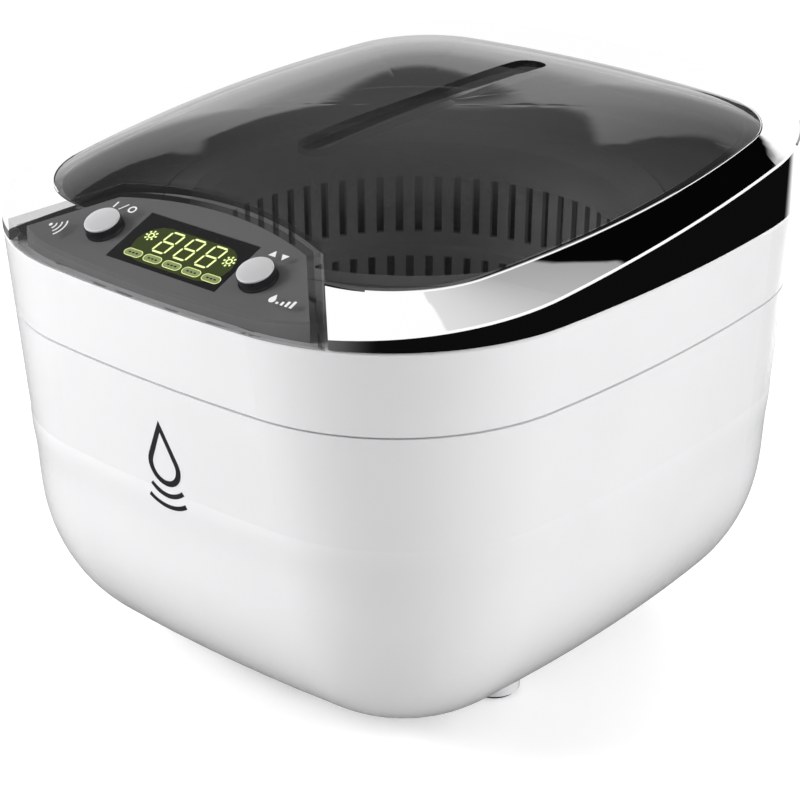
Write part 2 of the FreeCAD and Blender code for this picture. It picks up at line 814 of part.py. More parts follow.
def panel_form(name, inset, drop):
    """The panel's wedge: body outline at the front, its own plan elsewhere, tilted roof."""
    body = new_body(name)
    pad(body, wall_sketch(body, "body_top", inset), "30")
    sketch = new_sketch(body, "YZ_Plane")
    front = "(0 - body_half_depth - 20)"
    back = "(panel_y + 60)"
    level = "panel_z - (%s) / cos(panel_tilt) + (%s - panel_y) * " + PANEL_FALL
    roof = [(front, level % (drop, front)), (back, level % (drop, back)), (back, "body_top + 60"),
            (front, "body_top + 60")]
    draw_polygon(sketch, roof)
    pocket_both_ways(body, sketch, "4 * body_half_width")
    return common([body, panel_plan(name + "Plan", "0 - (%s)" % inset)])


def round_face_edges(base, radius):
    """Round the edges that lie in the panel's tilted face."""
    doc.recompute()
    rise = math.tan(math.radians(value("panel_tilt")))

    def in_face(edge):
        ends = [edge.valueAt(edge.FirstParameter), edge.valueAt(edge.LastParameter)]
        heights = [point.z - value("panel_z") - (point.y - value("panel_y")) * rise for point in ends]
        return max(abs(height) for height in heights) < 0.02

    made = doc.addObject("Part::Fillet", "rounded")
    made.Base = base
    size = value(radius)
    made.Edges = [(number, size, size) for number, edge in enumerate(base.Shape.Edges, start=1)
                  if in_face(edge)]
    return made


def button_holes():
    return [rod(x, "button_y", "-8", "button_radius + button_gap", "16") for x in BUTTON_PLACES.values()]


def make_panel():
    skin = "cover_sheet"
    outer = round_face_edges(panel_form("CoverOuter", "0", "0"), "cover_round")
    inner = panel_form("CoverInner", skin, skin)
    openings = button_holes()
    keep("panel_cover", cut(cut(outer, inner), on_panel(join(openings))))
    plate_outer = panel_form("PlateOuter", "panel_lip", skin + " + 0.05")
    plate_inner = panel_form("PlateInner", "panel_lip + plate_sheet", skin + " + 0.05 + plate_sheet")
    openings = button_holes()
    openings.append(box("0", "0", "-8", "display_width + 0.4", "display_depth + 0.4", "16"))
    keep("panel_plate", cut(cut(plate_outer, plate_inner), on_panel(join(openings))))


def make_display():
    module_low = "0 - cover_sheet - 0.1 - display_thickness"
    board_top = "0 - display_board_drop"
    board_low = board_top + " - board_sheet"
    module = box("0", "0", module_low, "display_width", "display_depth", "display_thickness")
    legs = [box("0", side + "display_leg_y", board_top, "display_leg_width", "display_leg_sheet",
                "%s + display_board_drop" % module_low) for side in ("-", "")]
    keep("display_module", on_panel(join([module] + legs)))
    board = box("0", "display_board_y", board_low, "display_board_width", "display_board_depth",
                "board_sheet")
    tail = box("0", "board_tail_y", board_low, "board_tail_width", "board_tail_depth", "board_sheet")
    keep("display_board", on_panel(join([board, tail])))
    switches = []
    # the stem stops short of the plunger by its travel and a little clearance
    plunger_low = "0 - stem_end - button_travel - 0.1 - plunger_height"
    for x in BUTTON_PLACES.values():
        body = box(x, "button_y", board_top, "switch_size", "switch_size", "switch_height")
        plunger = rod(x, "button_y", plunger_low, "plunger_radius", "plunger_height")
        switches.append(join([body, plunger]))
    keep("tact_switches", on_panel(group(switches)))


def make_buttons():
    for name, x in BUTTON_PLACES.items():
        spigot_low = "button_proud - cap_sheet - 0.6"
        keep(name + "_button_cap", on_panel(join([
            rod(x, "button_y", "button_proud - cap_sheet", "button_radius - 0.15", "cap_sheet"),
            rod(x, "button_y", spigot_low, "cap_spigot", "cap_sheet"),
        ])))
        stem = join([
            rod(x, "button_y", "0 - stem_drop", "button_radius", "button_proud - cap_sheet + stem_drop"),
            rod(x, "button_y", "0 - skirt_drop", "button_radius + button_skirt", "skirt_sheet"),
            rod(x, "button_y", "0 - stem_end", "stem_nose", "1"),
        ])
        well = rod(x, "button_y", spigot_low, "cap_spigot", "2")
        keep(name + "_button_stem", on_panel(cut(stem, well)))


# ---------------------------------------------------------------- lid
def crest_sketch(body, inset, drop):
    """The lid's ridge line: the body outline on a plane that rises towards the hinge."""
    sketch = new_sketch(body, offset="crest_height - (%s)" % drop, slope="crest_slope")
    half_x, half_y, side, corner = wall_section("body_top", inset)
    stretch = " / cos(atan(crest_slope))"
    draw_outline(sketch, half_x, "(%s)%s" % (half_y, stretch), side, corner)
    return sketch


def window_sketch(body, scale="1", lift="0", inset="0"):
    """The window outline, shrunk towards its middle and lifted, on its gently tilted plane."""
    sketch = new_sketch(body, offset="window_height + (%s)" % lift, slope="window_slope * (%s)" % scale)
    sizes = ["%s * (%s) - (%s)" % (word, scale, inset)
             for word in ("window_half_width", "window_half_depth", "window_arc", "window_corner")]
    draw_outline(sketch, *sizes, centre_y="window_y")
    return sketch


def dome_lift(scale):
    return "window_rise * (1 - (%s)^4)" % scale


def make_lid_ring():
    base = "body_top + lid_gap"
    outer = new_body("RingOuter")
    low = wall_sketch(outer, "body_top", "0", base)
    crest = [crest_sketch(outer, "0", "crest_bevel"), crest_sketch(outer, "crest_bevel", "0")]
    loft(outer, [low] + crest + [window_sketch(outer)], ruled=True)
    inner = new_body("RingInner")
    low = wall_sketch(inner, "body_top", "lid_wall", base)
    crest = crest_sketch(inner, "lid_wall", "lid_wall * 0.8")
    loft(inner, [low, crest, window_sketch(inner, lift="0 - window_seat - ledge_sheet")], ruled=True)
    seat = new_body("RingSeat")
    pad(seat, window_sketch(seat, lift="0 - window_seat", inset="-0.15"), "20")
    opening = new_body("RingOpening")
    pad(opening, window_sketch(opening, lift="-20", inset="window_ledge"), "40")
    notch = panel_plan("RingNotch", "lid_notch_gap")
    screws = [rod(x, "hinge_y - 12", "hinge_z + knuckle_screw_rise", "1.3", "9", Y_AXIS)
              for x in KNUCKLE_SCREWS]
    keep("lid_ring", cut(outer, join([inner, seat, opening, notch] + screws)))


def make_lid_window():
    outer = new_body("WindowOuter")
    loft(outer, [window_sketch(outer, lift="0 - window_seat"), window_sketch(outer)], ruled=True)
    scales = ("1", "0.93", "0.84", "0.72", "0.58", "0.42", "0.26", "0.12")
    loft(outer, [window_sketch(outer, s, dome_lift(s)) for s in scales])
    inner = new_body("WindowInner")
    under = [window_sketch(inner, "0.962", "0 - window_seat")]
    under += [window_sketch(inner, s, dome_lift(s) + " - window_wall") for s in scales[1:]]
    loft(inner, under)
    middle_y = "(groove_front + groove_back) / 2"
    low = "window_height + 4"
    slot = [box("0", middle_y, low, "groove_width", "groove_back - groove_front - groove_width", "20")]
    for y in ("groove_front + groove_width / 2", "groove_back - groove_width / 2"):
        slot.append(rod("0", y, low, "groove_width / 2", "20"))
    arc_centre_z = "groove_peak_z - groove_depth - groove_arc"
    floor = rod("-20", "groove_peak_y", arc_centre_z, "groove_arc", "40", X_AXIS)
    groove = cut(join(slot), floor)
    notch = panel_plan("WindowNotch", "lid_notch_gap")
    keep("lid_window", cut(outer, join([inner, groove, notch])))


def make_lid_frame():
    """Dark frame under the window's ledge; it clamps the window and stiffens the ring."""
    outer = new_body("FrameOuter")
    lift = "0 - window_seat - ledge_sheet - 2"
    pad(outer, window_sketch(outer, lift=lift, inset="0.5"), "1.95")
    inner = new_body("FrameInner")
    pad(inner, window_sketch(inner, lift="%s - 5" % lift, inset="6"), "10")
    notch = panel_plan("FrameNotch", "lid_notch_gap")
    keep("lid_frame", cut(outer, join([inner, notch])))


BUMPER_PLACES = four_places("bumper_x", "bumper_front_y", "bumper_x", "bumper_back_y")


def make_lid_bumpers():
    """Small rubber stops that carry the closed lid on the deck."""
    pads = [box(x, y, "body_top", "bumper_width", "bumper_length", "lid_gap") for x, y in BUMPER_PLACES]
    return keep("lid_bumpers", group(pads))


# ---------------------------------------------------------------- hinge
def ear_places(side):
    offset = "(knuckle_width / 2 + ear_width / 2 + ear_gap)"
    return ["%s * hinge_x %s %s" % (side, sign, offset) for sign in ("-", "+")]


KNUCKLE_SCREWS = ["%s * hinge_x %s knuckle_screw_x" % (side, sign)
                  for side in HINGE_SIDES for sign in ("-", "+")]


def bracket_block(name, x, width, corners):
    """A block with a YZ outline, centred on x."""
    body = new_body(name)
    sketch = new_sketch(body, "YZ_Plane", "%s - (%s) / 2" % (x, width))
    draw_polygon(sketch, corners)
    pad(body, sketch, width)
    return body


def make_hinge():
    knuckles = []
    brackets = []
    pins = []
    foot = [("bracket_inner_y", "bracket_foot_z"), ("bracket_foot_y", "bracket_foot_z")]
    ear = foot + [("hinge_y + barrel_radius * 0.95", "hinge_z - 1.4"), ("hinge_y", "hinge_z"),
                  ("hinge_y - 3", "hinge_z - 2"), ("bracket_inner_y", "hinge_z - 2")]
    base = foot + [("bracket_base_y", "bracket_base_z"), ("bracket_inner_y", "bracket_base_z")]
    for number, side in enumerate(HINGE_SIDES):
        middle = "%s * hinge_x" % side
        width = "knuckle_width + 2 * ear_width + 2 * ear_gap"
        start = "%s - knuckle_width / 2" % middle
        barrel = rod(start, "hinge_y", "hinge_z", "barrel_radius", "knuckle_width", X_AXIS)
        leaf = box(middle, "hinge_y - 4.4", "hinge_z", "knuckle_width", "leaf_thickness", "leaf_height")
        bore = rod(start, "hinge_y", "hinge_z", "hinge_pin_radius + 0.05", "knuckle_width", X_AXIS)
        knuckles.append(cut(join([barrel, leaf]), bore))
        pieces = [bracket_block("HingeBase%d" % number, middle, width, base)]
        for place, x in enumerate(ear_places(side)):
            pieces.append(bracket_block("HingeEar%d%d" % (number, place), x, "ear_width", ear))
            low_x = "%s - ear_width / 2" % x
            pieces.append(rod(low_x, "hinge_y", "hinge_z", "barrel_radius", "ear_width", X_AXIS))
        start = "%s - (%s) / 2" % (middle, width)
        bore = rod(start, "hinge_y", "hinge_z", "hinge_pin_radius + 0.03", width, X_AXIS)
        brackets.append(cut(join(pieces), bore))
        pins.append(rod(start + " - 0.5", "hinge_y", "hinge_z", "hinge_pin_radius", width + " + 1", X_AXIS))
    lid_side = wall_prism("LidSide", "body_top", "-0.05", "body_top - 1", "60")
    pilots = [rod(x, "hinge_y - 8", "hinge_z + knuckle_screw_rise", "1.05", "6.4", Y_AXIS)
              for x in KNUCKLE_SCREWS]
    keep("lid_knuckles", cut(group(knuckles), join([lid_side] + pilots)))
    wall_side = new_body("WallSide")
    loft(wall_side, [wall_sketch(wall_side, z, "-0.05") for z in ("seam_height + 2", "body_top + 4")],
         ruled=True)
    keep("hinge_brackets", cut(group(brackets), wall_side))
    keep("hinge_pins", group(pins))
    screws = []
    for x in KNUCKLE_SCREWS:
        shank = rod(x, "hinge_y - 7.2", "hinge_z + knuckle_screw_rise", "1", "5.4", Y_AXIS)
        head = rod(x, "hinge_y - 8.6", "hinge_z + knuckle_screw_rise", "2.2", "1.4", Y_AXIS)
        screws.append(join([shank, head]))
    keep("hinge_screws", group(screws))


# ---------------------------------------------------------------- electronics on the floor
def make_driver_board():
    top = "driver_z + board_sheet"
    board = box("0", "driver_y", "driver_z", "driver_length", "driver_depth", "board_sheet")
    holes = [rod(x, y, "driver_z", "1.6", "board_sheet") for x, y in BOARD_CORNERS]
    keep("driver_board", cut(board, join(holes)))
    core_y = "driver_y + 3"
    window_low = top + " + core_limb"
    window_height = "core_height - 2 * core_limb"
    windows = [box("core_x %s core_window_x" % sign, core_y, window_low, "core_window", "core_depth",
                   window_height) for sign in ("-", "+")]
    keep("transformer_core", cut(box("core_x", core_y, top, "core_width", "core_depth", "core_height"),
                                 join(windows)))
    coil_low = window_low + " + 0.2"
    coil_height = window_height + " - 0.4"
    coil = box("core_x", core_y, coil_low, "winding_width", "winding_depth", coil_height)
    bobbin = box("core_x", core_y, coil_low, "6.2", "core_depth + 0.2", coil_height)
    keep("transformer_winding", cut(coil, bobbin))
    base = box("sink_x", "driver_y + 2", top, "sink_width", "3", "sink_height")
    fins = [box("sink_x + fin_pitch * %g" % (i - (FIN_COUNT - 1) / 2), "driver_y + 8", top, "fin_sheet",
                "fin_length", "sink_height") for i in range(FIN_COUNT)]
    keep("heat_sink", join([base] + fins))
    transistors = []
    for x in ("12", "28"):
        body = box(x, "driver_y - 2", top + " + 5", "10", "4.6", "15")
        legs = [box("%s + %g" % (x, 2.5 * i), "driver_y - 2", top, "0.9", "0.6", "5.2") for i in (-1, 0, 1)]
        transistors.append(join([body] + legs))
    keep("power_transistors", group(transistors))
    cans = [rod("can_x", y, top, "can_radius", "can_height") for y in ("driver_y + 8", "driver_y - 3")]
    cans.append(rod("small_can_x", "driver_y + 8", top, "small_can_radius", "small_can_height"))
    keep("capacitors", group(cans))
    fuse_z = top + " + 4"
    keep("fuse", rod("fuse_x - fuse_length / 2", "driver_y - front_row", fuse_z, "fuse_radius",
                     "fuse_length", X_AXIS))
    clips = []
    for x in ("fuse_x - clip_x", "fuse_x + clip_x"):
        clip = box(x, "driver_y - front_row", top, "clip_length", "clip_size", "clip_size")
        seat = rod("%s - clip_length" % x, "driver_y - front_row", fuse_z, "fuse_radius + 0.05",
                   "2 * clip_length", X_AXIS)
        clips.append(cut(clip, seat))
    keep("fuse_clips", group(clips))
    plugs = [box(x, "driver_y - front_row", top, "plug_length", "plug_depth", "plug_height")
             for x in ("mains_plug_x", "drive_plug_x")]
    plugs.append(box("40", "driver_y - 5", top, "6", "10", "plug_height"))
    keep("board_connectors", group(plugs))
    keep("board_screws", group([machine_screw(x, y, top, "2.6", "1.5", "7") for x, y in BOARD_CORNERS]))


def machine_screw(x, y, seat, head_radius, head_height, length):
    """A screw that points down, its head resting on seat."""
    shank = rod(x, y, "%s - %s" % (seat, length), "screw_shank", length)
    head = rod(x, y, seat, head_radius, head_height)
    slot = box(x, y, "%s + %s / 2" % (seat, head_height), "0.6 * %s" % head_radius,
               "0.6 * %s" % head_radius, head_height)
    return cut(join([shank, head]), slot)


# ---------------------------------------------------------------- cooling fan
def make_fan():
    block = box("0", "fan_y", "fan_z", "fan_size", "fan_size", "fan_height")
    bore = rod("0", "fan_y", "fan_z", "fan_bore", "fan_height")
    holes = [rod(x, y, "fan_z", "1.6", "fan_height") for x, y in FAN_CORNERS]
    hub = rod("0", "fan_y", "fan_z", "fan_hub", "1.8")
    arms = [box("0", "fan_y", "fan_z", "2 * fan_bore + 1", "fan_arm", "1.6"),
            box("0", "fan_y", "fan_z", "fan_arm", "2 * fan_bore + 1", "1.6")]
    shaft = rod("0", "fan_y", "fan_z", "fan_shaft", "fan_height - 1.5")
    keep("fan_frame", join([cut(block, join([bore] + holes)), hub, shaft] + arms))
    cup = rod("0", "fan_y", "fan_z + 2.3", "fan_hub", "fan_height - 3")
    blades = []
    for i in range(BLADE_COUNT):
        blade = doc.addObject("Part::Box", "blade")
        bind(blade, "Length", "fan_tip - fan_hub + 1.2")
        bind(blade, "Width", "blade_width")
        bind(blade, "Height", "blade_sheet")
        swing = Turn(Z_AXIS, 360 * i / BLADE_COUNT)
        reach = Vec(value("fan_hub - 1.6"), -value("blade_width") / 2, -value("blade_sheet") / 2)
        pitch = Turn(X_AXIS, value("blade_pitch"))
        start = swing.multVec(pitch.multVec(reach))
        blade.Placement = Place(start, swing.multiply(pitch))
        set_base(blade, "%g" % start.x, "fan_y + %g" % start.y, "fan_z + fan_height / 2 + %g" % start.z)
        blades.append(blade)
    solid = join([cup] + blades)
    keep("fan_rotor", cut(solid, rod("0", "fan_y", "fan_z", "fan_shaft + 0.05", "fan_height")))
    seat = "fan_z + fan_height"
    keep("fan_screws", group([machine_screw(x, y, seat, "2.6", "1.6", "14") for x, y in FAN_CORNERS]))


# ---------------------------------------------------------------- feet, case screws and inlet
def make_feet():
    return keep("feet", group([rod(x, y, "0", "foot_radius", "foot_height") for x, y in FOOT_PLACES]))


def make_case_screws():
    screws = []
    for x, y in POST_PLACES:
        head_low = "post_split / 2 - case_screw_sink"
        shank = rod(x, y, "post_split / 2", "screw_shank", "post_split / 2 + case_screw_reach")
        head = cut(rod(x, y, head_low, "case_screw_head", "case_screw_sink"),
                   box(x, y, head_low, "1.6", "1.6", "1.4"))
        screws.append(join([shank, head]))
    return keep("case_screws", group(screws))


def make_inlet():
    block = inlet_block()
    lobes = [rod("inlet_x %s socket_lobe_x" % sign, "inlet_face - socket_depth", "inlet_z", "socket_lobe",
                 "socket_depth + 1", Y_AXIS) for sign in ("-", "+")]
    middle = box("inlet_x", "inlet_face - socket_depth / 2", "inlet_z - 3.6", "2 * socket_lobe_x",
                 "socket_depth + 0.2", "7.2")
    pin_places = ["inlet_x %s inlet_pin_x" % sign for sign in ("-", "+")]
    holes = [rod(x, "inlet_face - 23", "inlet_z", "inlet_pin", "10", Y_AXIS) for x in pin_places]
    keep("mains_inlet", cut(block, join(lobes + [middle] + holes)))
    pins = [rod(x, "inlet_face - pin_reach", "inlet_z", "inlet_pin", "24", Y_AXIS) for x in pin_places]
    keep("inlet_pins", group(pins))


# ---------------------------------------------------------------- internal leads
def lead(name, points, radius):
    """A round lead along straight runs joined by arcs that touch both runs."""
    corners = [Vec(*[value(c) for c in point]) for point in points]
    edges = []
    start = corners[0]
    for i in range(1, len(corners) - 1):
        back = (corners[i - 1] - corners[i])
        ahead = (corners[i + 1] - corners[i])
        reach = 0.45 * min(back.Length, ahead.Length)
        back.normalize()
        ahead.normalize()
        enter = corners[i] + back * reach
        leave = corners[i] + ahead * reach
        half_turn = back.getAngle(ahead) / 2
        bisector = (back + ahead).normalize()
        bend = reach * math.tan(half_turn)
        middle = corners[i] + bisector * (math.hypot(bend, reach) - bend)
        edges.append(Part.LineSegment(start, enter).toShape())
        edges.append(Part.Arc(enter, middle, leave).toShape())
        start = leave
    edges.append(Part.LineSegment(start, corners[-1]).toShape())
    path = Part.Wire(edges)
    ring = Part.Wire(Part.makeCircle(radius, corners[0], corners[1] - corners[0]))
    made = doc.addObject("Part::Feature", name)
    made.Shape = path.makePipeShell([ring], True, False)
    return made


def make_leads():
    mains = []
    for sign in (-1, 1):
        pin_x = "inlet_x + %d * inlet_pin_x" % sign
        mains.append(lead("MainsLead", [
            (pin_x, "inlet_face - pin_reach", "inlet_z"),
            (pin_x, "inlet_face - lead_drop", "inlet_z"),
            (pin_x, "inlet_face - lead_drop", "driver_z + 31"),
            ("mains_plug_x + %g" % (3 * sign), "driver_y - front_row", "driver_z + 28"),
            ("mains_plug_x + %g" % (3 * sign), "driver_y - front_row", "driver_z + board_sheet + 9"),
        ], MAINS_LEAD_RADIUS))
    keep("mains_leads", group(mains))
    drive = []
    level = "tank_floor - horn_height - electrode_sheet / 2"
    for step, x in ((0, "drive_plug_x - 2"), (1, "drive_plug_x + 2")):
        drop = "%s - %d * (piezo_sheet + electrode_sheet)" % (level, step)
        drive.append(lead("DriveLead", [
            ("piezo_radius + 8", "tank_y", drop),
            ("piezo_radius + 13", "tank_y", drop),
            ("piezo_radius + 13", "driver_y - 24", "driver_z + 18"),
            (x, "driver_y - 13", "driver_z + 18"),
            (x, "driver_y - 13", "driver_z + board_sheet + 9"),
        ], DRIVE_LEAD_RADIUS))
    keep("transducer_leads", group(drive))


MAKERS = [
    make_lower_shell, make_upper_shell, make_feet, make_case_screws,
    make_tank, make_gasket, make_transducer, make_basket,
    make_panel, make_display, make_buttons,
    make_lid_ring, make_lid_window, make_lid_frame, make_lid_bumpers, make_hinge,
    make_driver_board, make_fan, make_inlet, make_leads,
]


# ---------------------------------------------------------------- build, check and export
def check_and_export():
    doc.recompute()
    for thing in doc.Objects:
        if "Invalid" in thing.State or "Error" in thing.State:
            raise RuntimeError("failed object %s %s" % (thing.Name, thing.Label))
    os.makedirs("parts", exist_ok=True)
    # the hinge stands out at the back, so the origin moves to the middle of the whole footprint
    overhang = value("hinge_y + barrel_radius - body_half_depth")
    for part in PARTS:
        shape = part.Shape.copy()
        shape.translate(Vec(0, -overhang / 2, 0))
        if shape.isNull() or not shape.isValid() or not shape.Solids:
            raise RuntimeError("bad shape in %s" % part.Label)
        shape.exportStep("parts/%s.step" % part.Label)
        print("%-24s %10.1f mm3 %d solids" % (part.Label, shape.Volume, len(shape.Solids)))


for maker in MAKERS:
    maker()
check_and_export()
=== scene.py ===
"""Ultrasonic cleaner: materials, printed marks, rounded trims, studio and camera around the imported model.

Metres, +Z up. The control panel faces -Y, the lid hinge is at +Y.
"""
import json
import math

import bmesh
import bpy
from mathutils import Matrix, Vector
from mathutils.bvhtree import BVHTree
from mathutils.geometry import convex_hull_2d


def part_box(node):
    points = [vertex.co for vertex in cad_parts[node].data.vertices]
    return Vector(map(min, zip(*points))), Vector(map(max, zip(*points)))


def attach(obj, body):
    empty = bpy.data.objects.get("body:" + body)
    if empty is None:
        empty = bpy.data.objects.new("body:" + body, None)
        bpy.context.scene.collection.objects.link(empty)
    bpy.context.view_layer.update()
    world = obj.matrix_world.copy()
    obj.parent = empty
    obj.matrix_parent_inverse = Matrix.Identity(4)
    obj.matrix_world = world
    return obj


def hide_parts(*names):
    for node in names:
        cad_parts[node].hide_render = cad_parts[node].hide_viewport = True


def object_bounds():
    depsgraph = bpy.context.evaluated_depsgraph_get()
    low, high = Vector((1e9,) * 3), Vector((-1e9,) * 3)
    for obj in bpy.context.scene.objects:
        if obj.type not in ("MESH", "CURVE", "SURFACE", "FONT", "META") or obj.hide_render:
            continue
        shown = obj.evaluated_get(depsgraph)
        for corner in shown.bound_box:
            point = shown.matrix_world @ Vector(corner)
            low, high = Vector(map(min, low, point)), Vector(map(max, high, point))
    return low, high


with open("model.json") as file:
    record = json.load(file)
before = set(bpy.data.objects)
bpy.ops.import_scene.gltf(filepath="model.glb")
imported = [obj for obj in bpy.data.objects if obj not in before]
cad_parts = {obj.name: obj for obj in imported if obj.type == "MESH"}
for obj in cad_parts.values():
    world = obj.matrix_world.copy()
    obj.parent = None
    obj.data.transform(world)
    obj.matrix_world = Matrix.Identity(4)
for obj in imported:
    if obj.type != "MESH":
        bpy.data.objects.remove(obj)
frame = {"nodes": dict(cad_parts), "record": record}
CAD_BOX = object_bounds()
NODES = frame["nodes"]

MM = 0.001

# viewpoint: direction, distance and the point looked at, measured from the middle of the box
VIEW_AZIMUTH = 40.9
VIEW_ELEVATION = 24.2
VIEW_DISTANCE = 0.6725
VIEW_AIM = Vector((0.0, -0.0062, -0.0106))
VIEW_LENS = 104.3

# control panel, millimetres on its face: its tilt, and how far the display lies under that face
PANEL_TILT = math.radians(22.5)
DISPLAY_DROP = 1.7
DISPLAY_HALF_DEPTH = 9.0
PRINT_SHEET = 0.03
PRINT_ROOT = -0.02
GLOW_ROOT = -0.01

# display layout, millimetres from the middle of the panel's face
FIGURE_PLACES = (-6.1, 1.5, 9.2)
FIGURE_Y = 1.1
FIGURE_WIDTH = 4.3
FIGURE_HEIGHT = 7.8
FIGURE_STROKE = 0.62
FIGURE_SLANT = 0.12
MARK_PLACES = ((-13.0, 1.7), (15.2, 1.5))
MARK_RADIUS = 1.9
MARK_STROKE = 0.4
LAMP_COUNT = 5
LAMP_FIRST_X = -12.8
LAMP_PITCH = 7.0
LAMP_Y = -5.5
LAMP_SIZE = (6.0, 2.5)
LAMP_RIM = 0.18
DASH_PITCH = 1.25
DASH_SIZE = (0.9, 0.5)

# symbols beside the buttons, millimetres
POWER_SYMBOL_AT = (-26.6, 6.6)
SET_ARROWS_AT = (28.4, 6.8)
LEVEL_SYMBOL_AT = (41.5, -6.6)
WAVE_SYMBOL_AT = (-39.0, -6.6)

# buttons, millimetres
BUTTON_X = 27.6
BUTTON_Y = -1.0
BUTTON_TOP = 1.7
BUTTON_RADIUS = 4.85
BUTTON_SKIRT = 0.7
BUTTON_EDGE = 0.35
BUTTON_CROWN = 0.25

# emblem on the front wall: x and z of its middle in metres, then millimetres
EMBLEM_AT = Vector((0.001, 0.081))
EMBLEM_SIZE = 12.0
DROP_STROKE = 1.7
RIPPLE_STROKE = 1.3

# bead round the window: half its sweep in degrees, radius in metres, sides
BEAD_REACH = 147
BEAD_RADIUS = 0.0003
BEAD_SIDES = 8

# seat plane of the lid window, metres: height over y = 0, rise per metre of y, and what counts as on it
WINDOW_SEAT_HEIGHT = 0.1411
WINDOW_SEAT_RISE = 0.054
WINDOW_SEAT_MARGIN = 0.0004

# smoked plastic: facing values between which its cover grows
SMOKE_SLANT = (0.4, 0.66)

# sharp mirrors: a flag in degrees above the horizon and left of +Y, and the grey above it
FLAG_HEIGHTS = (15.0, 40.3)
FLAG_TURNS = (-2.0, 37.0)
FLAG_EDGES = (0.8, 1.2)
FLAG_LEVEL = 0.002
BEHIND_FLAG_HEIGHTS = (40.0, 70.0)
BEHIND_FLAG_LEVELS = (0.45, 1.05)
MIRROR_WHITE = 1.27

# satin mirrors: a white wall with a dip in its upper edge, and the ceiling over it, degrees
WALL_TURN = 42.0
WALL_LOW = 16.5
WALL_HIGH = 34.0
WALL_TURNS = (0.0, 18.0)
WALL_EDGE = 0.6
WALL_FOOT = (10.0, 16.0)
WALL_LEVELS = (1.9, 1.2)
CEILING_HEIGHTS = (36.0, 52.0)
CEILING_LEVELS = (0.3, 0.03)

# light that falls on matt faces from all round
DIFFUSE_LEVEL = 0.26

# floor: size in metres, own white, glow for the camera, and what mirrors see of it
FLOOR_REACH = 8.0
FLOOR_WHITE = 0.82
FLOOR_GLOW = 0.35
MIRRORED_FLOOR = (0.004, 0.3)
MIRRORED_FLOOR_FADE = (0.1, 0.5)
MIRRORED_BACK = 1.2
MIRRORED_BACK_Y = (0.15, 0.3)
MIRRORED_BACK_X = (0.03, 0.13)

# area lights: name, place, aim, size, watts
LIGHTS = (
    ("key_left", (-1.32, -1.31, 1.0), (0, 0, 0.07), (1.2, 1.0), 40),
    ("fill_right", (1.63, 0.69, 0.9), (0, 0, 0.07), (1.0, 1.0), 27),
    ("back", (-0.5, 1.8, 1.1), (0, 0, 0.07), (1.2, 1.0), 20),
    ("top", (-0.5, -0.5, 1.5), (0, 0, 0.1), (0.4, 0.4), 3),
)


# ---------------------------------------------------------------- node graphs
class Graph:
    """Builds a material or world node tree by name, one call a node."""

    def __init__(self, tree):
        self.tree = tree
        tree.nodes.clear()

    def add(self, kind, settings=None, **inputs):
        made = self.tree.nodes.new(kind)
        for key, setting in (settings or {}).items():
            setattr(made, key, setting)
        for key, source in inputs.items():
            self.feed(made, key.replace("_", " "), source)
        return made

    def feed(self, node, name, source):
        socket = node.inputs[int(name)] if name.isdigit() else node.inputs[name]
        if isinstance(source, bpy.types.Node):
            self.tree.links.new(source.outputs[0], socket)
        elif isinstance(source, bpy.types.NodeSocket):
            self.tree.links.new(source, socket)
        else:
            socket.default_value = source

    def math(self, operation, *operands):
        made = self.add("ShaderNodeMath", {"operation": operation})
        for index, operand in enumerate(operands):
            self.feed(made, str(index), operand)
        return made

    def ramp(self, source, low, high, out_low=0.0, out_high=1.0, kind="SMOOTHSTEP"):
        """From out_low to out_high while source goes from low to high."""
        made = self.add("ShaderNodeMapRange", {"interpolation_type": kind})
        for name, given in (("Value", source), ("From Min", low), ("From Max", high),
                            ("To Min", out_low), ("To Max", out_high)):
            self.feed(made, name, given)
        return made

    def mix(self, share, first, second):
        """A colour that goes from first to second as share goes from 0 to 1."""
        made = self.add("ShaderNodeMix", {"data_type": "RGBA"})
        for index, given in ((0, share), (6, first), (7, second)):
            self.feed(made, str(index), given)
        return made.outputs[2]

    def blend(self, share, first, second):
        """A number that goes from first to second as share goes from 0 to 1."""
        made = self.add("ShaderNodeMix", {"data_type": "FLOAT"})
        for index, given in ((0, share), (2, first), (3, second)):
            self.feed(made, str(index), given)
        return made.outputs[0]

    def between(self, source, low, high, soft):
        """1 where source lies between low and high, with soft edges."""
        rising = self.ramp(source, low - soft, low)
        falling = self.ramp(source, high, high + soft, 1.0, 0.0)
        return self.math("MULTIPLY", rising, falling)


def colour(red, green=None, blue=None):
    green = red if green is None else green
    blue = red if blue is None else blue
    return (red, green, blue, 1.0)


def new_material(name):
    material = bpy.data.materials.new(name)
    material.use_nodes = True
    return material, Graph(material.node_tree)


def noise(graph, where, scale, detail=3.0, roughness=0.5):
    made = graph.add("ShaderNodeTexNoise", Scale=scale, Detail=detail, Roughness=roughness)
    graph.feed(made, "Vector", where)
    return made.outputs[0]


def finish_material(name, base, second, gloss, grain, peel, **extra):
    """Base colour drifting to a second one, roughness range, grain per metre and relief depth."""
    material, graph = new_material(name)
    where = graph.add("ShaderNodeTexCoord").outputs["Object"]
    drift = graph.ramp(noise(graph, where, 18.0), 0.35, 0.65)
    fine = noise(graph, where, grain, 4.0, 0.6)
    shader = graph.add("ShaderNodeBsdfPrincipled")
    graph.feed(shader, "Base Color", graph.mix(drift, colour(*base), colour(*second)))
    graph.feed(shader, "Roughness", graph.ramp(fine, 0.3, 0.7, *gloss))
    bump = graph.add("ShaderNodeBump", Strength=1.0, Distance=peel, Height=fine)
    graph.feed(shader, "Normal", bump)
    for key, given in extra.items():
        graph.feed(shader, key.replace("_", " "), given)
    graph.add("ShaderNodeOutputMaterial", Surface=shader)
    return material, graph, shader


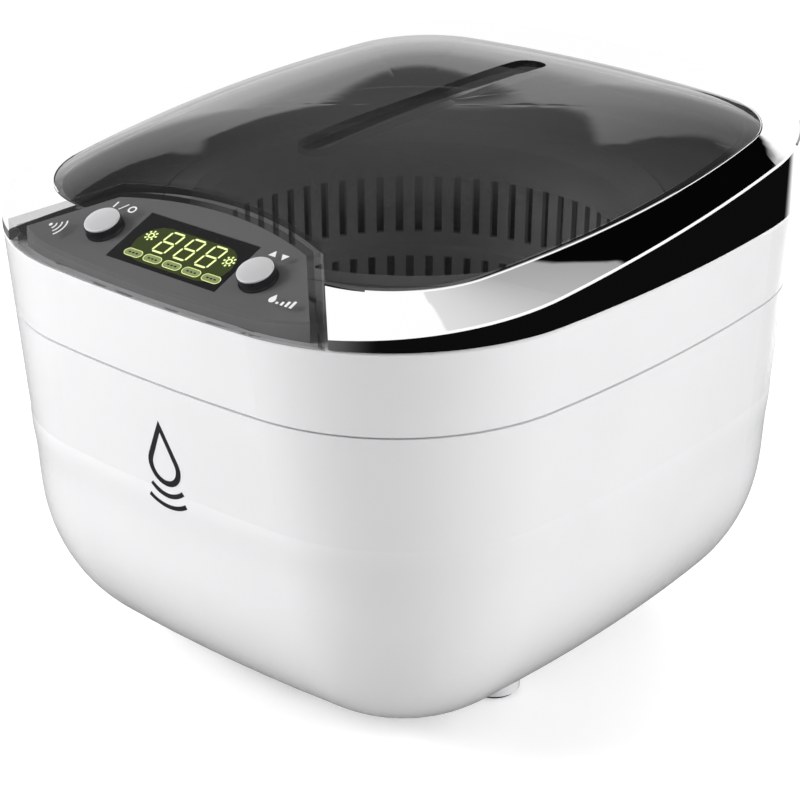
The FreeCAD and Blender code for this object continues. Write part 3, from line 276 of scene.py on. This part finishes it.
def moulded(name, base, second, gloss=(0.3, 0.42), grain=900.0, peel=0.00002, **extra):
    return finish_material(name, base, second, gloss, grain, peel, **extra)[0]


def metal(name, base, second, gloss=(0.2, 0.35), grain=700.0, peel=0.00001):
    return finish_material(name, base, second, gloss, grain, peel, Metallic=1.0)[0]


def smoked(name, tint, cover, haze, clear_seat=False):
    """Smoked clear plastic: one surface stops cover[0] of the light head on, cover[1] at a glance."""
    base = (tint, tint, tint * 1.05)
    material, graph, shader = finish_material(name, base, tuple(1.2 * part for part in base), haze, 300.0,
                                              0.000001, IOR=1.5)
    inside = graph.add("ShaderNodeNewGeometry").outputs["Backfacing"]
    graph.feed(shader, "Specular IOR Level", graph.math("SUBTRACT", 1.0, inside))
    slant = graph.add("ShaderNodeLayerWeight", Blend=0.5).outputs["Facing"]
    stopped = graph.ramp(slant, *SMOKE_SLANT, *cover)
    if clear_seat:
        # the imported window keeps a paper-thin sheet on its seat plane, which is drawn clear
        place = graph.add("ShaderNodeSeparateXYZ", Vector=graph.add("ShaderNodeTexCoord").outputs["Object"])
        seat = graph.math("MULTIPLY_ADD", place.outputs[1], WINDOW_SEAT_RISE,
                          WINDOW_SEAT_HEIGHT + WINDOW_SEAT_MARGIN)
        stopped = graph.math("MULTIPLY", stopped, graph.math("GREATER_THAN", place.outputs[2], seat))
    graph.feed(shader, "Alpha", stopped)
    return material


def glowing(name, tint, strength):
    """Lit display segment with a slightly uneven glow."""
    material, graph = new_material(name)
    where = graph.add("ShaderNodeTexCoord").outputs["Object"]
    uneven = graph.ramp(noise(graph, where, 900.0), 0.3, 0.7, strength * 0.85, strength)
    shader = graph.add("ShaderNodeBsdfPrincipled", Roughness=0.5)
    graph.feed(shader, "Base Color", colour(*tint))
    graph.feed(shader, "Emission Color", colour(*tint))
    graph.feed(shader, "Emission Strength", uneven)
    graph.add("ShaderNodeOutputMaterial", Surface=shader)
    return material


def make_materials():
    return {
        "housing_white": moulded("housing_white", (0.86, 0.86, 0.87), (0.84, 0.84, 0.85), (0.2, 0.27),
                                 520.0, 0.000006, Coat_Weight=0.25, Coat_Roughness=0.08),
        "chrome_trim": metal("chrome_trim", (0.985, 0.985, 0.985), (0.975, 0.975, 0.98), (0.0, 0.0), 60.0,
                             0.000002),
        "window_smoke": smoked("window_smoke", 0.01, (0.45, 0.74), (0.015, 0.03), clear_seat=True),
        "panel_smoke": smoked("panel_smoke", 0.04, (0.2, 0.3), (0.03, 0.05)),
        "panel_grey": moulded("panel_grey", (0.27, 0.27, 0.275), (0.24, 0.24, 0.245), (0.35, 0.5), 1800.0),
        "display_black": moulded("display_black", (0.004, 0.004, 0.004), (0.006, 0.007, 0.005),
                                 (0.08, 0.12), 400.0, 0.000001),
        "circuit_board": moulded("circuit_board", (0.02, 0.16, 0.06), (0.03, 0.2, 0.08), (0.3, 0.45)),
        "component_black": moulded("component_black", (0.012, 0.012, 0.013), (0.02, 0.02, 0.021),
                                   (0.4, 0.55), 1400.0),
        "button_silver": moulded("button_silver", (0.74, 0.74, 0.75), (0.64, 0.64, 0.65), (0.3, 0.42),
                                 2600.0, 0.00001, Metallic=0.35),
        "silicone_grey": moulded("silicone_grey", (0.5, 0.5, 0.5), (0.45, 0.45, 0.45), (0.5, 0.65)),
        "basket_grey": moulded("basket_grey", (0.84, 0.845, 0.85), (0.78, 0.785, 0.79), (0.3, 0.42), 1100.0),
        "aluminium": metal("aluminium", (0.75, 0.76, 0.77), (0.66, 0.67, 0.68)),
        "ceramic": metal("ceramic", (0.72, 0.7, 0.64), (0.62, 0.6, 0.55), (0.35, 0.5)),
        "brass": metal("brass", (0.7, 0.5, 0.2), (0.6, 0.42, 0.16)),
        "steel": metal("steel", (0.55, 0.56, 0.58), (0.45, 0.46, 0.48)),
        "ferrite": moulded("ferrite", (0.04, 0.04, 0.045), (0.06, 0.06, 0.065), (0.6, 0.8)),
        "winding_tape": moulded("winding_tape", (0.75, 0.55, 0.08), (0.65, 0.46, 0.06), (0.25, 0.4)),
        "fuse_glass": smoked("fuse_glass", 0.4, (0.15, 0.25), (0.02, 0.04)),
        "connector_white": moulded("connector_white", (0.75, 0.73, 0.66), (0.68, 0.66, 0.6), (0.4, 0.55)),
        "lead_brown": moulded("lead_brown", (0.11, 0.05, 0.03), (0.09, 0.04, 0.025), (0.4, 0.55)),
        "lead_red": moulded("lead_red", (0.45, 0.02, 0.02), (0.38, 0.02, 0.02), (0.4, 0.55)),
        "rubber_black": moulded("rubber_black", (0.014, 0.014, 0.014), (0.022, 0.022, 0.022), (0.65, 0.8),
                                1600.0, 0.00004),
        "tank_steel": drawn_steel("tank_steel"),
        "display_lit": glowing("display_lit", (0.8, 0.93, 0.38), 1.5),
        "display_dim": glowing("display_dim", (0.3, 0.36, 0.14), 0.7),
        "display_glow": glowing("display_glow", (0.03, 0.045, 0.002), 1.0),
        "print_white": moulded("print_white", (0.85, 0.85, 0.85), (0.78, 0.78, 0.78), (0.4, 0.5)),
        "mark_black": moulded("mark_black", (0.01, 0.01, 0.011), (0.018, 0.018, 0.02), (0.3, 0.4)),
    }


def drawn_steel(name):
    """Satin stainless steel with fine marks that run round the tank."""
    material, graph = new_material(name)
    where = graph.add("ShaderNodeTexCoord").outputs["Object"]
    stretched = graph.add("ShaderNodeMapping", Vector=where, Scale=(40.0, 40.0, 6000.0))
    marks = noise(graph, stretched, 1.0, 3.0)
    smudge = noise(graph, where, 30.0)
    shader = graph.add("ShaderNodeBsdfPrincipled", Metallic=1.0)
    graph.feed(shader, "Base Color", graph.mix(smudge, colour(0.34, 0.35, 0.36), colour(0.44, 0.45, 0.46)))
    graph.feed(shader, "Roughness", graph.ramp(marks, 0.3, 0.7, 0.22, 0.34))
    graph.feed(shader, "Normal", graph.add("ShaderNodeBump", Strength=0.6, Distance=0.00001, Height=marks))
    graph.add("ShaderNodeOutputMaterial", Surface=shader)
    return material


def dress_nodes(materials):
    for row in frame["record"]["subparts"]:
        node = NODES[row["node"]]
        for place in node.material_slots:
            place.link = "OBJECT"
            place.material = materials[row["material_slot"]]


# ---------------------------------------------------------------- thin drawn pieces
class Drawing:
    """A flat drawing in millimetres whose faces share corners; it becomes a thin closed solid."""

    def __init__(self):
        self.points = []
        self.faces = []

    def polygon(self, outline):
        start = len(self.points)
        self.points += [tuple(point) for point in outline]
        self.faces.append(tuple(range(start, len(self.points))))

    def ribbon(self, line, width, closed=False):
        """A stroke along a line of points, with mitred corners."""
        line = [Vector(point) for point in line]
        count = len(line)
        start = len(self.points)
        for i, point in enumerate(line):
            before = line[i - 1] if closed or i else point
            after = line[(i + 1) % count] if closed or i < count - 1 else point
            legs = [leg.normalized() for leg in (point - before, after - point) if leg.length > 1e-9]
            along = sum(legs, Vector((0, 0))).normalized()
            across = Vector((-along.y, along.x)) * width / 2 / max(along.dot(legs[0]), 0.5)
            self.points += [tuple(point + across), tuple(point - across)]
        for i in range(count if closed else count - 1):
            a, b = start + 2 * i, start + 2 * ((i + 1) % count)
            self.faces.append((a, a + 1, b + 1, b))

    def ring(self, x, y, radius, width, first=0.0, last=360.0, count=32):
        closed = last - first >= 360
        steps = count if closed else count - 1
        turns = [math.radians(first + (last - first) * i / steps) for i in range(count)]
        self.ribbon([(x + radius * math.cos(t), y + radius * math.sin(t)) for t in turns], width, closed)

    def disc(self, x, y, radius, count=24):
        turns = [math.tau * i / count for i in range(count)]
        self.polygon([(x + radius * math.cos(t), y + radius * math.sin(t)) for t in turns])

    def segment(self, start, end, width):
        """One bar of a figure, pointed at both ends."""
        start, end = Vector(start), Vector(end)
        along = (end - start).normalized() * width / 2
        across = Vector((-along.y, along.x))
        self.polygon([start, start + along - across, end - along - across, end,
                      end - along + across, start + along + across])

    def piece(self, name, place, low, high, material, slot, body="housing"):
        """The drawing raised between two lifts over the surface that place(x, y, lift) describes."""
        count = len(self.points)
        corners = [place(x, y, high) for x, y in self.points] + [place(x, y, low) for x, y in self.points]
        faces = list(self.faces) + [tuple(i + count for i in reversed(face)) for face in self.faces]
        sides = {(face[i - 1], face[i]) for face in self.faces for i in range(len(face))}
        faces += [(b, a, a + count, b + count) for a, b in sorted(sides) if (b, a) not in sides]
        return solid_piece(name, corners, faces, material, body)


def solid_piece(name, corners, faces, material, body):
    mesh = bpy.data.meshes.new(name)
    mesh.from_pydata([tuple(corner) for corner in corners], [], faces)
    tidy = bmesh.new()
    tidy.from_mesh(mesh)
    bmesh.ops.recalc_face_normals(tidy, faces=tidy.faces)
    tidy.to_mesh(mesh)
    tidy.free()
    mesh.materials.append(MATERIALS[material])
    made = bpy.data.objects.new(name, mesh)
    bpy.context.scene.collection.objects.link(made)
    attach(made, body)
    return made


# ---------------------------------------------------------------- control panel details
def panel_matrix():
    """Places millimetres on the panel's face in the frame's metres."""
    low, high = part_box("display_module")
    rise, run = math.sin(PANEL_TILT), math.cos(PANEL_TILT)
    y = low[1] + (DISPLAY_HALF_DEPTH * run - DISPLAY_DROP * rise) * MM
    z = high[2] - (DISPLAY_HALF_DEPTH * rise - DISPLAY_DROP * run) * MM
    return (Matrix.Translation((0, y, z)) @ Matrix.Rotation(PANEL_TILT, 4, "X")
            @ Matrix.Scale(MM, 4))


def on_panel(x, y, lift):
    return PANEL @ Vector((x, y, lift))


def on_display(x, y, lift):
    return PANEL @ Vector((x, y, lift - DISPLAY_DROP))


def figure_eight(drawing, x, y, width, height, stroke, slant):
    """All seven bars of one figure."""
    def at(across, up):
        return (x + across * width / 2 + slant * up * height / 2, y + up * height / 2)
    for up in (-1, 0, 1):
        drawing.segment(at(-0.9, up), at(0.9, up), stroke)
    for across in (-1, 1):
        drawing.segment(at(across, 0.05), at(across, 0.95), stroke)
        drawing.segment(at(across, -0.95), at(across, -0.05), stroke)


def spark(drawing, x, y, radius, stroke):
    """A small ring with eight rays."""
    drawing.ring(x, y, 0.42 * radius, stroke, count=16)
    for i in range(8):
        turn = math.tau * i / 8
        inner, outer = ((x + r * math.cos(turn), y + r * math.sin(turn)) for r in (0.66 * radius, radius))
        drawing.ribbon([inner, outer], stroke * 1.3)


def pill_outline(x, y, width, height, count=8):
    radius = height / 2
    reach = width / 2 - radius
    right = [math.radians(-90 + 180 * i / count) for i in range(count + 1)]
    return ([(x + reach + radius * math.cos(t), y + radius * math.sin(t)) for t in right]
            + [(x - reach - radius * math.cos(t), y - radius * math.sin(t)) for t in right])


def make_display():
    """Three figures, two running marks and five programme lamps on a faintly glowing ground."""
    ground, figures, marks, lamps, rims, dashes = (Drawing() for _ in range(6))
    ground.polygon(pill_outline(0.9, -0.9, 34.0, 13.6))
    for x in FIGURE_PLACES:
        figure_eight(figures, x, FIGURE_Y, FIGURE_WIDTH, FIGURE_HEIGHT, FIGURE_STROKE, FIGURE_SLANT)
    for x, y in MARK_PLACES:
        spark(marks, x, y, MARK_RADIUS, MARK_STROKE)
    for i in range(LAMP_COUNT):
        x = LAMP_FIRST_X + LAMP_PITCH * i
        lamps.polygon(pill_outline(x, LAMP_Y, *LAMP_SIZE))
        rims.ribbon(pill_outline(x, LAMP_Y, *LAMP_SIZE), LAMP_RIM, True)
        for step in range(-1, 2):
            dashes.polygon(pill_outline(x + DASH_PITCH * step, LAMP_Y, *DASH_SIZE, 4))
    for name, drawing, top, material in (("display_ground", ground, 0.008, "display_glow"),
                                         ("display_figures", figures, 0.035, "display_lit"),
                                         ("running_marks", marks, 0.035, "display_lit"),
                                         ("programme_lamps", lamps, 0.025, "display_dim"),
                                         ("programme_lamp_rims", rims, 0.04, "display_lit"),
                                         ("programme_lamp_dashes", dashes, 0.036, "display_black")):
        drawing.piece(name, on_display, GLOW_ROOT, top, material, "display_black")


def make_prints():
    """White symbols in place of words: on and off, arrows, a filling level and sound waves."""
    power, arrows, level, waves = (Drawing() for _ in range(4))
    x, y = POWER_SYMBOL_AT
    power.ribbon([(x - 3.6, y - 1.1), (x - 3.6, y + 1.1)], 0.5)
    power.ribbon([(x - 1.4, y - 1.3), (x + 0.2, y + 1.3)], 0.35)
    power.ring(x + 2.6, y, 1.05, 0.5)
    x, y = SET_ARROWS_AT
    arrows.polygon([(x - 3.0, y - 0.8), (x - 0.6, y - 0.8), (x - 1.8, y + 1.2)])
    arrows.polygon([(x + 0.6, y + 0.8), (x + 1.8, y - 1.2), (x + 3.0, y + 0.8)])
    x, y = LEVEL_SYMBOL_AT
    belly = [math.radians(turn) for turn in range(150, 391, 20)]
    level.polygon([(x - 3.4, y + 1.6)] + [(x - 3.4 + math.cos(t), y - 0.35 + math.sin(t)) for t in belly])
    for i in range(4):
        level.ribbon([(x - 1.4 + 1.5 * i, y - 1.2), (x - 1.4 + 1.5 * i, y - 0.5 + 0.6 * i)], 0.8)
    x, y = WAVE_SYMBOL_AT
    waves.disc(x - 3.4, y, 0.55)
    for i in range(3):
        waves.ring(x - 3.4, y, 1.7 + 1.5 * i, 0.45, -38.0, 38.0, 10)
    for name, drawing in (("power_symbol", power), ("set_arrows", arrows), ("level_symbol", level),
                          ("wave_symbol", waves)):
        drawing.piece(name, on_panel, PRINT_ROOT, PRINT_SHEET, "print_white", "housing_white")


def lathe(name, profile, x, y, material, body, count=64):
    """A turned piece from (radius, lift) points; the first and last lie on the axis."""
    corners = [on_panel(x, y, profile[0][1]), on_panel(x, y, profile[-1][1])]
    rings = profile[1:-1]
    for radius, lift in rings:
        turns = [math.tau * i / count for i in range(count)]
        corners += [on_panel(x + radius * math.cos(t), y + radius * math.sin(t), lift) for t in turns]
    faces = []
    for i in range(count):
        after = (i + 1) % count
        faces.append((0, 2 + after, 2 + i))
        for ring in range(len(rings) - 1):
            low, high = 2 + ring * count, 2 + (ring + 1) * count
            faces.append((low + i, low + after, high + after, high + i))
        last = 2 + (len(rings) - 1) * count
        faces.append((last + i, last + after, 1))
    made = solid_piece(name, corners, faces, material, body)
    for face in made.data.polygons:
        face.use_smooth = True
    return made


def make_button_caps():
    """Satin silver caps with a rounded edge and a slight crown, each over its black stem."""
    seat = BUTTON_TOP - BUTTON_SKIRT
    profile = [(0.0, seat), (BUTTON_RADIUS - 0.1, seat), (BUTTON_RADIUS, seat + 0.08)]
    for turn in map(math.radians, (0, 22, 45, 67, 90)):
        profile.append((BUTTON_RADIUS - BUTTON_EDGE * (1 - math.cos(turn)),
                        BUTTON_TOP - BUTTON_EDGE * (1 - math.sin(turn))))
    flat = BUTTON_RADIUS - BUTTON_EDGE
    profile += [(flat * share, BUTTON_TOP + BUTTON_CROWN * (1 - share * share))
                for share in (0.8, 0.6, 0.4, 0.2)]
    profile.append((0.0, BUTTON_TOP + BUTTON_CROWN))
    for side, name in ((-1, "power"), (1, "set")):
        cap = lathe(name + "_button_dome", profile, side * BUTTON_X, BUTTON_Y, "button_silver",
                    name + "_button")
        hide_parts(name + "_button_cap")


# ---------------------------------------------------------------- front emblem
def make_emblem():
    """A generic drop over two ripples, printed on the curved front wall."""
    shell = NODES["lower_shell"].data
    wall = BVHTree.FromPolygons([corner.co for corner in shell.vertices],
                                [face.vertices for face in shell.polygons])
    front = CAD_BOX[0][1] - 0.01

    def on_wall(x, y, lift):
        start = Vector((EMBLEM_AT.x + x * MM, front, EMBLEM_AT.y + y * MM))
        spot = wall.ray_cast(start, Vector((0, 1, 0)))[0]
        return spot - Vector((0, lift * MM, 0))

    mark = Drawing()
    tip = EMBLEM_SIZE * 0.95
    belly = EMBLEM_SIZE * 0.42
    middle = -EMBLEM_SIZE * 0.05
    drop = [(0.0, tip)]
    drop += [(belly * math.cos(math.radians(t)), middle + belly * math.sin(math.radians(t)))
             for t in range(155, 386, 10)]
    mark.ribbon(drop, DROP_STROKE, True)
    for radius, spread in ((0.72, 42), (1.0, 34)):
        mark.ring(0.0, middle, EMBLEM_SIZE * radius, RIPPLE_STROKE, 270 - spread, 270 + spread, 20)
    mark.piece("front_emblem", on_wall, -0.1, 0.06, "mark_black", "component_black")


# ---------------------------------------------------------------- polished bead round the window
def make_window_bead():
    """A thin bright bead in the joint between the window and the ring, open at the panel."""
    low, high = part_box("lid_window")
    middle = Vector(((low[0] + high[0]) / 2, (low[1] + high[1]) / 2))
    spots = [corner.co.copy() for corner in NODES["lid_window"].data.vertices]
    rim = {}
    for index in convex_hull_2d([spot.xy for spot in spots]):
        edge = spots[index]
        turn = math.degrees(math.atan2(edge.x - middle.x, edge.y - middle.y))
        if abs(turn) <= BEAD_REACH:
            rise = max(spot.z for spot in spots if (spot.xy - edge.xy).length < BEAD_RADIUS)
            rim[turn] = Vector((edge.x, edge.y, rise))
    line = [rim[turn] for turn in sorted(rim)]
    corners, faces = [], []
    end = len(line) - 1
    for index, spot in enumerate(line):
        along = (line[min(index + 1, end)] - line[max(index - 1, 0)]).normalized()
        side = along.cross(Vector((0, 0, 1))).normalized()
        rise = side.cross(along)
        for step in range(BEAD_SIDES):
            angle = 2 * math.pi * step / BEAD_SIDES
            corners.append(spot + BEAD_RADIUS * (side * math.cos(angle) + rise * math.sin(angle)))
    for near in range(0, end * BEAD_SIDES, BEAD_SIDES):
        far = near + BEAD_SIDES
        for step in range(BEAD_SIDES):
            after = (step + 1) % BEAD_SIDES
            faces.append((near + step, near + after, far + after, far + step))
    faces.append(tuple(range(BEAD_SIDES)))
    faces.append(tuple(end * BEAD_SIDES + step for step in range(BEAD_SIDES)))
    solid_piece("window_bead", corners, faces, "chrome_trim", "lid")


# ---------------------------------------------------------------- studio
def make_world():
    """Three rooms in one: a flagged one for sharp mirrors, one for satin faces, an even one for light."""
    world = bpy.data.worlds.new("studio")
    bpy.context.scene.world = world
    world.use_nodes = True
    graph = Graph(world.node_tree)
    direction = graph.add("ShaderNodeTexCoord").outputs["Generated"]
    parts = graph.add("ShaderNodeSeparateXYZ", Vector=direction)
    height = graph.math("DEGREES", graph.math("ARCSINE", parts.outputs[2]))
    leftward = graph.math("MULTIPLY", parts.outputs[0], -1.0)
    turn = graph.math("DEGREES", graph.math("ARCTAN2", leftward, parts.outputs[1]))
    # sharp mirrors: white, a black flag behind the object, a grey gradient above the flag
    height_edge, turn_edge = FLAG_EDGES
    gradient = graph.ramp(height, *BEHIND_FLAG_HEIGHTS, *BEHIND_FLAG_LEVELS, kind="LINEAR")
    flagged = graph.blend(graph.between(height, *FLAG_HEIGHTS, height_edge), gradient, FLAG_LEVEL)
    sharp = graph.blend(graph.between(turn, *FLAG_TURNS, turn_edge), MIRROR_WHITE, flagged)
    # satin faces: a white wall whose upper edge dips behind the object, and a dim ceiling
    away = graph.math("ABSOLUTE", graph.math("SUBTRACT", turn, WALL_TURN))
    edge = graph.ramp(away, *WALL_TURNS, WALL_LOW, WALL_HIGH)
    over = graph.ramp(graph.math("SUBTRACT", height, edge), -WALL_EDGE, WALL_EDGE)
    satin = graph.blend(over, graph.ramp(height, *WALL_FOOT, *WALL_LEVELS),
                        graph.ramp(height, *CEILING_HEIGHTS, *CEILING_LEVELS))
    path = graph.add("ShaderNodeLightPath")
    mirrored = graph.blend(path.outputs["Is Singular Ray"], satin, sharp)
    lit = graph.blend(path.outputs["Is Glossy Ray"], DIFFUSE_LEVEL, mirrored)
    shade = graph.add("ShaderNodeBackground", Strength=graph.blend(path.outputs["Is Camera Ray"], lit, 1.0))
    graph.add("ShaderNodeOutputWorld", Surface=shade)


def mix_shaders(graph, share, first, second):
    made = graph.add("ShaderNodeMixShader")
    for index, given in enumerate((share, first, second)):
        graph.feed(made, str(index), given)
    return made


def make_floor():
    """A white floor that glows a little for the camera and shows mirrors its own greys."""
    mesh = bpy.data.meshes.new("floor")
    corners = [(x * FLOOR_REACH, y * FLOOR_REACH, 0) for x, y in ((-1, -1), (1, -1), (1, 1), (-1, 1))]
    mesh.from_pydata(corners, [], [(0, 1, 2, 3)])
    floor = bpy.data.objects.new("floor", mesh)
    bpy.context.scene.collection.objects.link(floor)
    material, graph = new_material("floor_white")
    path = graph.add("ShaderNodeLightPath")
    pale = graph.add("ShaderNodeBsdfDiffuse", Color=colour(FLOOR_WHITE))
    lifted = graph.add("ShaderNodeAddShader")
    graph.feed(lifted, "0", pale)
    graph.feed(lifted, "1", graph.add("ShaderNodeEmission", Strength=FLOOR_GLOW))
    place = graph.add("ShaderNodeSeparateXYZ", Vector=graph.add("ShaderNodeNewGeometry").outputs["Position"])
    x, y = place.outputs[0], place.outputs[1]
    front_left = graph.math("SUBTRACT", graph.math("MULTIPLY", x, -1.0), y)
    behind = graph.math("MULTIPLY", graph.ramp(y, *MIRRORED_BACK_Y),
                        graph.ramp(x, *MIRRORED_BACK_X, MIRRORED_BACK, 0.0))
    grey = graph.add("ShaderNodeEmission", Strength=graph.math(
        "MAXIMUM", graph.ramp(front_left, *MIRRORED_FLOOR_FADE, *MIRRORED_FLOOR), behind))
    seen = mix_shaders(graph, path.outputs["Is Camera Ray"], pale, lifted)
    mirrored = mix_shaders(graph, path.outputs["Is Glossy Ray"], seen, grey)
    graph.add("ShaderNodeOutputMaterial", Surface=mirrored)
    mesh.materials.append(material)


def area_light(name, place, aim, size, power):
    """A rectangular light that mirrors don't show."""
    data = bpy.data.lights.new(name, "AREA")
    data.shape = "RECTANGLE"
    data.size, data.size_y = size
    data.energy = power
    light = bpy.data.objects.new(name, data)
    light.location = place
    light.rotation_euler = (Vector(aim) - Vector(place)).to_track_quat("-Z", "Y").to_euler()
    light.visible_glossy = False
    bpy.context.scene.collection.objects.link(light)


def make_lights():
    for name, place, aim, size, power in LIGHTS:
        area_light(name, place, aim, size, power)


def make_camera():
    data = bpy.data.cameras.new("camera")
    data.lens = VIEW_LENS
    camera = bpy.data.objects.new("camera", data)
    bpy.context.scene.collection.objects.link(camera)
    azimuth, elevation = math.radians(VIEW_AZIMUTH), math.radians(VIEW_ELEVATION)
    back = Vector((math.sin(azimuth) * math.cos(elevation), -math.cos(azimuth) * math.cos(elevation),
                   math.sin(elevation)))
    low, high = CAD_BOX
    camera.location = (low + high) / 2 + VIEW_AIM + back * VIEW_DISTANCE
    camera.rotation_mode = "QUATERNION"
    camera.rotation_quaternion = (-back).to_track_quat("-Z", "Y")
    data.clip_start = 0.01
    bpy.context.scene.camera = camera


make_camera()
MATERIALS = make_materials()
dress_nodes(MATERIALS)
PANEL = panel_matrix()
make_display()
make_prints()
make_button_caps()
make_emblem()
make_window_bead()
make_world()
make_floor()
make_lights()
bpy.context.scene.view_settings.view_transform = "Standard"
